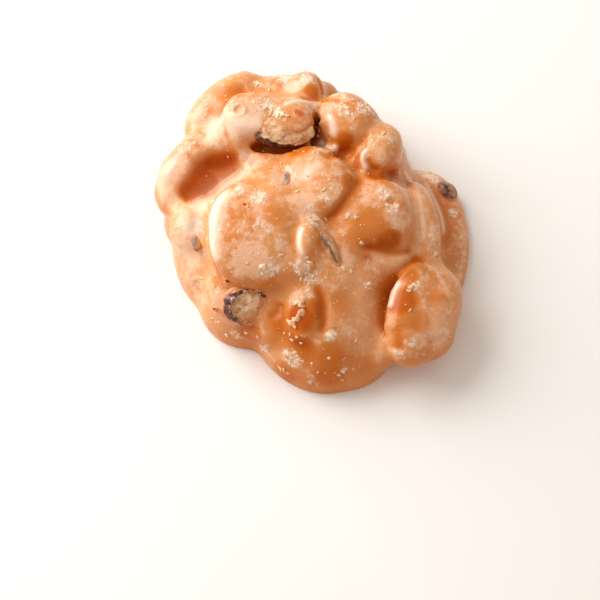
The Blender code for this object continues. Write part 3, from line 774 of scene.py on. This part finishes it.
# name: (middle), (length, width, height), turn, rise, roll, how it is torn, how thick the film over it is
RAISINS = {
    "raisin_torn": ((-11.8, -17.6, 10.8), (8.8, 8.0, 4.0), 20, -6, 33, "hollow", 0.0),
    "raisin_under_ledge": ((-5.2, 14.2, 18.9), (12.0, 6.0, 3.6), -3, 0, 36, "split", 0.0),
    "raisin_wedge": ((3.6, -9.0, 15.7), (8.6, 3.2, 4.0), -62, -12, 0, "whole", 0.7),
    "raisin_left": ((-21.2, -4.3, 11.7), (6.0, 2.8, 3.0), 95, 0, -30, "whole", 0.9),
    "raisin_saddle": ((-4.5, 3.5, 18.7), (5.0, 3.2, 2.6), 240, 0, 0, "whole", 0.9),
    "raisin_flange": ((26.4, 9.8, 2.6), (4.8, 3.4, 3.2), -55, 0, 0, "whole", 0.55),
    "raisin_back": ((3.0, 28.8, 6.2), (7.5, 5.0, 3.6), -10, 0, -80, "whole", 0.3),
    "raisin_back_left": ((-20.7, 22.8, 6.6), (6.5, 4.5, 3.4), 53, 0, -70, "whole", 0.3),
}
THICK_FILM = 0.8


def dried_grape(name, middle, size, turn, rise, roll, torn, film):
    """A flattened ball in deep lengthwise folds. A torn one shows flesh inside a ragged edge of skin."""
    berry = dough_ball(name + "_skin", 96, 60)
    unit = corners_of(berry)
    seed = len(name) + size[0]
    places = unit * np.array(size) / 2 * MM
    stretched = places * (0.45, 1.0, 1.0)
    folds = 1 - np.abs(waves(stretched, 1.5, seed)) * 2.2
    wrinkles = 1 - np.abs(waves(places * (0.6, 1.0, 1.0), 0.6, seed + 1)) * 2
    top = fade(unit[:, 2], 0.0, 0.2)
    ragged = 0.14 * waves(places, 1.2, seed + 4, 3)
    if torn == "hollow":
        # skin stays round the left and the far side, and the flesh runs into the coating at the near right
        angle = np.arctan2(unit[:, 1], unit[:, 0])
        off_centre = np.hypot(unit[:, 0], unit[:, 1] + 0.16)
        flesh = top * fade(0.72 + ragged - off_centre, -0.04, 0.05)
        kept = fade(np.cos(angle - math.radians(105)), -0.45, 0.0)
        rim = kept * top * np.exp(-((off_centre - 0.79 - ragged) / 0.07) ** 2)
        outwards = off_centre - ragged
        smothered = np.maximum((1 - kept) * fade(outwards, 0.3, 0.7), fade(outwards, 0.84, 0.94))
        dip = 0.30 * flesh
    elif torn == "split":
        # the near edge and the left tip keep their skin, and the rest is a broken face
        beyond_skin = unit[:, 1] + ragged + 0.76 - 0.5 * fade(-unit[:, 0], 0.0, 0.7)
        flesh = top * fade(beyond_skin, -0.06, 0.04) * fade(unit[:, 0] + ragged, -0.74, -0.6)
        rim = top * np.exp(-(beyond_skin / 0.08) ** 2) * fade(unit[:, 0], -0.8, -0.5)
        smothered = fade(unit[:, 1], 0.85, 1.0)
        dip = 0.10 * flesh
    else:
        flesh, rim, dip = np.zeros(len(unit)), 0.0, 0.0
        smothered = fade(np.hypot(unit[:, 0], unit[:, 1]), 0.9 - 0.4 * film, 1.2 - 0.4 * film) * film
    height = min(size) * 0.5 * MM
    places[:, 2] *= 1 - 0.25 * film
    push = (0.10 * folds + 0.045 * wrinkles) * height * (1 - 0.6 * flesh) * (1 - 0.6 * film)
    places = places * (1 + (push / (np.linalg.norm(places, axis=1) + 1e-9)))[:, None]
    places[:, 2] += height * (0.16 * rim * (0.6 + 1.2 * waves(unit, 0.3 / MM, seed + 2)) - dip)
    crags = 0.27 * waves(places, 0.6, seed + 3, 3) + 0.67 * waves(places, 1.8, seed + 6)
    places[:, 2] += flesh * dip * MM * crags
    matrix = np.array(turned(middle, turn, rise, roll))
    places = places @ matrix[:3, :3].T + matrix[:3, 3] + shift
    put_corners(berry, places)
    berry.data.shade_smooth()
    nearest = [coating.find_nearest(Vector(place)) for place in places]
    above = np.array([(Vector(p) - hit[0]).dot(hit[1]) for p, hit in zip(places, nearest)]) / MM
    keep_value(berry, "above_coating", above)
    keep_value(berry, "flesh", flesh)
    keep_value(berry, "rim", rim * np.ones(len(unit)))
    keep_value(berry, "smothered", smothered)
    keep_value(berry, "film", np.full(len(places), film))
    keep_value(berry, "fold", folds * 0.7 + wrinkles * 0.3)
    # dark skin shows in a lengthwise streak through a thin film, and under a thick one the colour darkens
    # towards one end
    unevenly = waves(places, 2.0, seed + 5)
    if film < THICK_FILM:
        streak = np.exp(-((unit[:, 1] + 0.2 + 0.35 * unevenly) / 0.16) ** 2) * fade(film, 0.2, 0.5)
    else:
        streak = 0.75 * fade(unit[:, 0] + 0.4 * unevenly, 0.15, -0.25)
    keep_value(berry, "streak", streak)
    return berry


skin = Finish("raisin_skin", subsurface_weight=0.12, subsurface_radius=(1.0, 0.4, 0.2),
              subsurface_scale=0.8 * MM, ior=1.45, coat_weight=0.15, coat_roughness=0.25)
above = skin.attribute("above_coating")
flesh = skin.attribute("flesh")
film = skin.attribute("film")
rim = skin.attribute("rim")
fold = skin.attribute("fold")
blotches = skin.grain(1.6, detail=4, rough=0.6)
grit = skin.grain(0.35, detail=3)
patch = skin.grain(0.8, detail=3, rough=0.6)

# nearly black skin with a plum cast, and a grey bloom on its folds
colour = skin.blend(seen(62, 29, 21), seen(130, 70, 46), skin.step(patch, 0.4, 0.65))
grey = skin.step(patch * 0.6 + grit * 0.2 + fold * 0.2 + film * 0.4, 0.62, 0.95)
colour = skin.blend(colour, seen(210, 184, 158), grey * 0.5)
veiled = skin.blend(seen(200, 152, 106), seen(156, 102, 60), skin.step(blotches, 0.42, 0.62))
clouded = skin.step(film, THICK_FILM - 0.05, THICK_FILM + 0.05) * skin.step(blotches, 0.3, 0.5)
veiled = skin.blend(veiled, seen(182, 164, 148), clouded)
veiled = skin.blend(veiled, seen(84, 50, 28), skin.attribute("streak") * 0.85)
colour = skin.blend(colour, veiled, skin.step(film + fold * 0.15 + patch * 0.3, 0.6, 0.95))

# tan flesh with darker, jellied spots
meat = skin.blend(seen(236, 196, 152), seen(196, 146, 102), skin.step(blotches, 0.4, 0.6))
meat = skin.blend(meat, seen(120, 70, 30), skin.step(patch, 0.56, 0.7) * 0.6)
colour = skin.blend(colour, meat, flesh)
crumbly = skin.step(grit * 0.7 + patch * 0.5 + rim * 0.12, 0.72, 0.80)
colour = skin.blend(colour, seen(246, 220, 188), crumbly * 0.7)

# the coating creeps over its edges, and thinly over all of one that is filmed
wetted = skin.step(above - patch * 0.8 - skin.attribute("smothered") * 0.8 + rim * 0.6, -0.5, 0.0, 1.0, 0.0)
colour = skin.blend(colour, seen(212, 138, 80), wetted)
skin.feed(base_color=colour, roughness=skin.step(grey + flesh, 0.0, 1.0, 0.4, 0.65))
skin.feed(normal=skin.bump(grit * 0.3 + patch * 0.6, 0.07))
for name, shape in RAISINS.items():
    berry = dried_grape(name, *shape)
    skin.dress(berry)
    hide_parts(name)
    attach(berry, "root")

# ---- Crumbs ---------------------------------------------------------------------------------
# Bits of chopped nut and dry coating that stuck to the cluster as it set. Each is a small uneven pebble of
# the same coating, half sunk in it.

# where, in the photograph's pixels: length, width and height in mm
CRUMBS = {
    (303, 299): (1.9, 1.4, 1.1), (298, 302): (1.6, 1.2, 1.0), (293, 301): (0.9, 0.7, 0.5),
    (302, 306): (1.5, 1.1, 0.9), (301, 312): (1.8, 1.2, 1.0), (298, 317): (1.2, 1.0, 0.8),
    (295, 320): (1.4, 1.0, 0.8), (291, 323): (1.8, 1.0, 0.8), (294, 326): (1.0, 0.7, 0.5),
    (311, 263): (1.3, 0.8, 0.5), (306, 273): (0.8, 0.6, 0.4), (313, 277): (1.0, 0.8, 0.5),
    (301, 279): (0.7, 0.6, 0.4), (309, 284): (0.6, 0.5, 0.4), (344, 269): (1.5, 0.5, 0.3),
    (351, 271): (1.0, 0.5, 0.3), (263, 267): (1.3, 1.2, 0.3), (267, 272): (1.2, 1.0, 0.3),
    (263, 274): (0.9, 0.8, 0.3), (269, 267): (0.7, 0.6, 0.3), (247, 263): (0.6, 0.5, 0.3),
    (281, 255): (1.0, 0.5, 0.3), (239, 335): (1.6, 0.8, 0.5), (246, 333): (1.3, 0.9, 0.5),
    (227, 335): (1.0, 0.7, 0.4), (258, 337): (0.7, 0.6, 0.4), (290, 334): (0.7, 0.5, 0.4),
    (292, 340): (0.6, 0.8, 0.4), (285, 333): (0.5, 0.7, 0.4), (297, 337): (0.6, 0.6, 0.4),
    (301, 343): (0.5, 0.6, 0.4), (266, 346): (1.0, 0.5, 0.4), (262, 350): (0.8, 0.5, 0.3),
    (331, 336): (1.9, 1.5, 0.5), (286, 356): (0.9, 0.8, 0.5), (290, 363): (0.8, 0.5, 0.4),
    (312, 363): (0.6, 0.6, 0.3), (329, 358): (0.6, 0.6, 0.3), (280, 368): (1.1, 0.8, 0.4),
    (284, 370): (1.2, 0.8, 0.4), (288, 373): (1.0, 0.7, 0.4), (344, 370): (1.1, 1.0, 0.5),
    (339, 375): (0.7, 0.6, 0.4), (342, 380): (0.6, 0.5, 0.3), (318, 372): (0.6, 0.4, 0.3),
    (356, 340): (0.9, 0.4, 0.3), (369, 284): (1.1, 0.7, 0.4), (412, 287): (1.2, 1.0, 0.5),
    (409, 291): (0.8, 0.7, 0.4), (419, 284): (1.2, 0.5, 0.4), (410, 310): (0.7, 0.4, 0.3),
    (346, 108): (1.8, 0.7, 0.4), (349, 114): (1.4, 0.6, 0.4), (354, 119): (0.8, 0.4, 0.3),
    (366, 104): (0.9, 0.5, 0.3), (374, 116): (0.6, 0.5, 0.3), (384, 133): (0.9, 0.7, 0.4),
    (371, 137): (0.7, 0.4, 0.3), (333, 151): (0.6, 0.5, 0.4), (271, 112): (1.6, 0.8, 0.5),
    (277, 117): (1.4, 0.8, 0.5), (283, 114): (1.3, 0.7, 0.5), (288, 116): (0.8, 0.6, 0.4),
    (266, 108): (0.9, 0.6, 0.4), (257, 85): (0.9, 0.5, 0.4), (269, 90): (0.8, 0.5, 0.3),
    (319, 130): (0.6, 0.9, 0.4), (318, 136): (0.6, 0.6, 0.4), (324, 190): (0.5, 1.3, 0.4),
    (329, 180): (0.8, 0.7, 0.3), (298, 191): (1.0, 0.5, 0.3), (313, 220): (0.7, 0.4, 0.3),
    (316, 221): (1.5, 0.5, 0.4), (326, 220): (1.2, 0.5, 0.4), (281, 163): (0.5, 0.4, 0.3),
    (263, 151): (0.5, 0.4, 0.3), (253, 156): (0.4, 0.4, 0.3), (228, 157): (0.5, 0.4, 0.3),
    (262, 163): (0.8, 0.4, 0.3), (314, 152): (0.8, 0.5, 0.3), (453, 213): (1.0, 1.6, 0.4),
    (455, 217): (0.8, 0.8, 0.4), (348, 217): (1.6, 0.7, 0.4), (356, 218): (1.2, 0.7, 0.4),
    (398, 206): (1.4, 0.4, 0.3), (362, 243): (0.9, 0.8, 0.3), (215, 276): (0.8, 0.4, 0.3),
    (202, 278): (0.9, 0.5, 0.4), (193, 284): (0.7, 0.4, 0.3), (181, 279): (0.6, 0.5, 0.3),
    (212, 319): (0.7, 0.5, 0.4), (219, 322): (0.6, 0.4, 0.3), (456, 266): (0.6, 0.5, 0.3),
    (436, 254): (0.8, 1.2, 0.3), (220, 88): (0.4, 0.4, 0.3), (254, 93): (0.5, 0.5, 0.3),
    (296, 97): (0.4, 0.4, 0.3), (204, 107): (0.4, 0.3, 0.3), (226, 96): (0.4, 0.3, 0.3),
}
# Finer crumbs lie all over. They are dropped on the cluster from every side, a golden angle apart.
STRAY_CRUMBS = 300
SMALLEST_STRAY, STRAY_SPREAD = 0.17, 0.26
GOLDEN_ANGLE = 2.39996
DROPPED_FROM = 80
AIMED_AT = Vector((0, 0, 4)) * MM
CLEAR_OF_BASE = 1.0


def crumb_at(place, facing, size, seed):
    """The corners of one crumb, pushed about so that no two are alike, and half sunk where it lies."""
    upright = facing.to_track_quat("Z", "Y").to_matrix() @ Matrix.Rotation(seed * 2.4, 3, "Z")
    corners = []
    for corner in pebble_corners:
        uneven = 0.9 + 0.8 * noise.noise(corner * 1.1 + Vector((seed * 3.1, seed, 0)))
        uneven += 0.7 * noise.noise(corner * 2.6 + Vector((seed, seed * 2.3, 0)))
        reach = [side * width * MM / 2 for side, width in zip(corner * uneven, size)]
        corners.append(place + upright @ Vector(reach))
    return corners


bpy.ops.object.select_all(action="DESELECT")
bpy.ops.mesh.primitive_ico_sphere_add(subdivisions=2, radius=1.0)
crumbs = bpy.context.object
crumbs.name = "crumbs"
pebble_corners = [vertex.co.copy() for vertex in crumbs.data.vertices]
pebble_faces = [tuple(face.vertices) for face in crumbs.data.polygons]
lying = [(*seen_at(pixel), size) for pixel, size in CRUMBS.items()]
for number in range(STRAY_CRUMBS):
    heading = number * GOLDEN_ANGLE
    high = 1 - (number + 0.5) / STRAY_CRUMBS
    level = math.sqrt(1 - high ** 2)
    outward = Vector((math.cos(heading) * level, math.sin(heading) * level, high))
    hit, normal, _, _ = coating.ray_cast(AIMED_AT + outward * DROPPED_FROM * MM, -outward)
    size = SMALLEST_STRAY + STRAY_SPREAD * noise.cell(Vector((number * 1.7, 0, 0))) ** 2
    if hit is not None and hit.z > CLEAR_OF_BASE * MM:
        lying.append((hit, normal, (size, size * 0.8, size * 0.7)))
corners, faces = [], []
for number, (place, normal, size) in enumerate(lying):
    faces += [tuple(index + len(corners) for index in face) for face in pebble_faces]
    corners += crumb_at(place, normal, size, number + 1)
corners = np.clip([tuple(corner) for corner in corners], node_low, node_high)
crumbs.data.clear_geometry()
crumbs.data.from_pydata(corners.tolist(), [], faces)
crumbs.data.update()
crumbs.data.shade_smooth()

chopped = Finish("dry_crumb", roughness=0.7, specular_ior_level=0.3, subsurface_weight=0.2,
                 subsurface_radius=(1.0, 0.6, 0.3), subsurface_scale=0.5 * MM)
browned = chopped.step(chopped.grain(1.5), 0.35, 0.65)
shade = chopped.blend(seen(248, 217, 182), seen(226, 168, 120), browned)
chopped.feed(base_color=shade, normal=chopped.bump(chopped.grain(0.3), 0.08))
chopped.dress(crumbs)
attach(crumbs, "root")

# ---- Floor and light ------------------------------------------------------------------------
# A plain pale table, one large soft light from the left and behind, and an even warm white room.
bpy.ops.object.select_all(action="DESELECT")
bpy.ops.mesh.primitive_plane_add(size=3.0, location=(0, 0, solid_low.z))
floor = bpy.context.object
floor.name = "floor"
pale = Finish("pale_floor", roughness=0.6)
pale.feed(base_color=pale.blend(seen(236, 234, 231), seen(240, 239, 237), pale.grain(60)))
pale.dress(floor)

LIGHT_DISTANCE = 0.45
soft_at = Vector((-0.72, 0.45, 0.53)).normalized() * LIGHT_DISTANCE
bpy.ops.object.light_add(type="AREA", location=soft_at, rotation=soft_at.to_track_quat("Z", "Y").to_euler())
key = bpy.context.object
key.name = "key"
key.data.size = 0.42
key.data.energy = 3.35
key.data.color = (0.97, 0.965, 0.96)

room = bpy.data.worlds.new("white_room")
bpy.context.scene.world = room
room.use_nodes = True
room.node_tree.nodes["Background"].inputs["Color"].default_value = (1.0, 0.9, 0.81, 1)
room.node_tree.nodes["Background"].inputs["Strength"].default_value = 0.66
bpy.context.scene.view_settings.view_transform = "Standard"
